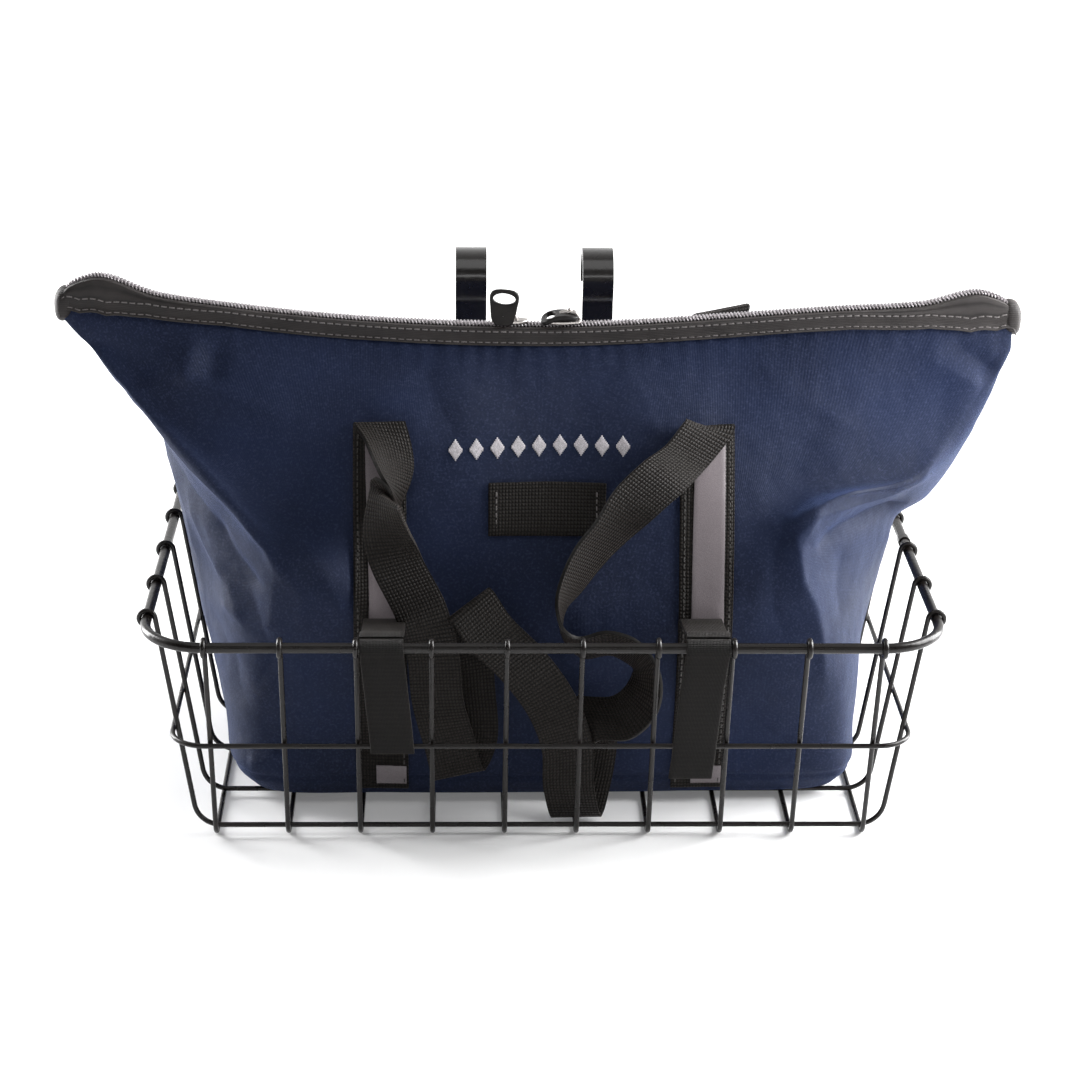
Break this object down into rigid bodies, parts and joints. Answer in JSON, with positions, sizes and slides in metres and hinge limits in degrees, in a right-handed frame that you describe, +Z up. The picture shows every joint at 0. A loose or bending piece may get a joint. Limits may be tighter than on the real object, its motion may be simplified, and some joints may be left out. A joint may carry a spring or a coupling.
{
  "type": "handlebar basket",
  "caption": "Shallow welded-wire handlebar basket with flat hooks that hang on the bar, holding a lift-out zipped tote bag with webbing handles and straps over the rim.",
  "frame": {"origin": "on the surface it stands on, under the middle of its bounding box", "axes": "+X along the handlebar, +Y from the front of the basket to the rider, +Z up"},
  "size_m": [0.4772, 0.2844, 0.2607],
  "materials": {
    "wire_coat": "gloss black powder coat",
    "strap_coat": "gloss black vinyl dip coat",
    "zinc": "bright zinc plate",
    "navy_cloth": "plain-woven coated nylon",
    "board": "matt board",
    "binding": "woven tape with grey stitching",
    "zip_coil": "nylon coil with a metal sheen",
    "webbing": "coarse woven webbing",
    "reflective_tape": "grey retroreflective tape",
    "tie_strap": "fine smooth tape",
    "slider_metal": "nickel plate",
    "pull_rubber": "matt moulded"
  },
  "bodies": {
    "basket": {"top_rim": "wire_coat", "middle_ring": "wire_coat", "long_wire_1": "wire_coat", "long_wire_2": "wire_coat", "long_wire_3": "wire_coat", "long_wire_4": "wire_coat", "long_wire_5": "wire_coat", "long_wire_6": "wire_coat", "long_wire_7": "wire_coat", "long_wire_8": "wire_coat", "long_wire_9": "wire_coat", "long_wire_10": "wire_coat", "cross_wire_1": "wire_coat", "cross_wire_2": "wire_coat", "cross_wire_3": "wire_coat", "cross_wire_4": "wire_coat", "cross_wire_5": "wire_coat", "hook_left": "strap_coat", "hook_right": "strap_coat", "clip_plates": "strap_coat", "clip_screws": "zinc", "clip_nuts": "zinc"},
    "bag": {"bag_front_panel": "navy_cloth", "bag_rear_panel": "navy_cloth", "base_board": "board", "zip_tape_front": "binding", "zip_tape_rear": "binding", "zip_coil_front": "zip_coil", "zip_coil_rear": "zip_coil", "zip_end_tabs": "binding", "front_band_left": "webbing", "front_band_right": "webbing", "rear_band_left": "webbing", "rear_band_right": "webbing", "front_reflector_left": "reflective_tape", "front_reflector_right": "reflective_tape", "rear_reflector_left": "reflective_tape", "rear_reflector_right": "reflective_tape", "light_patch": "webbing", "front_handle": "webbing", "rear_handle": "webbing", "strap_bridge_left": "tie_strap", "strap_bridge_right": "tie_strap"},
    "rim_strap_left": {"rim_strap_left": "tie_strap"},
    "rim_strap_right": {"rim_strap_right": "tie_strap"},
    "slider_left": {"slider_left": "slider_metal"},
    "slider_right": {"slider_right": "slider_metal"},
    "pull_left": {"pull_link_left": "slider_metal", "pull_tab_left": "pull_rubber"},
    "pull_right": {"pull_link_right": "slider_metal", "pull_tab_right": "pull_rubber"}
  },
  "joints": [
    {"name": "bag_lift", "type": "slide", "parent": "basket", "child": "bag", "axis": [0, 0, 1], "range_m": [0, 0.26]},
    {"name": "rim_strap_left_flip", "type": "hinge", "parent": "bag", "child": "rim_strap_left", "pos_m": [-0.076, -0.13712, 0.1186], "axis": [-1, 0, 0], "range_deg": [0, 95]},
    {"name": "rim_strap_right_flip", "type": "hinge", "parent": "bag", "child": "rim_strap_right", "pos_m": [0.076, -0.13712, 0.1186], "axis": [-1, 0, 0], "range_deg": [0, 95]},
    {"name": "slider_left_travel", "type": "slide", "parent": "bag", "child": "slider_left", "axis": [-0.9982, 0, 0.0599], "range_m": [0, 0.12]},
    {"name": "slider_right_travel", "type": "slide", "parent": "bag", "child": "slider_right", "axis": [0.9982, 0, 0.0599], "range_m": [0, 0.12]},
    {"name": "pull_left_swing", "type": "hinge", "parent": "slider_left", "child": "pull_left", "pos_m": [-0.01871, 0.00537, 0.23533], "axis": [0, 1, 0], "range_deg": [-38, 38]},
    {"name": "pull_right_swing", "type": "hinge", "parent": "slider_right", "child": "pull_right", "pos_m": [0.01871, 0.00537, 0.23533], "axis": [0, 1, 0], "range_deg": [0, 160]}
  ]
}
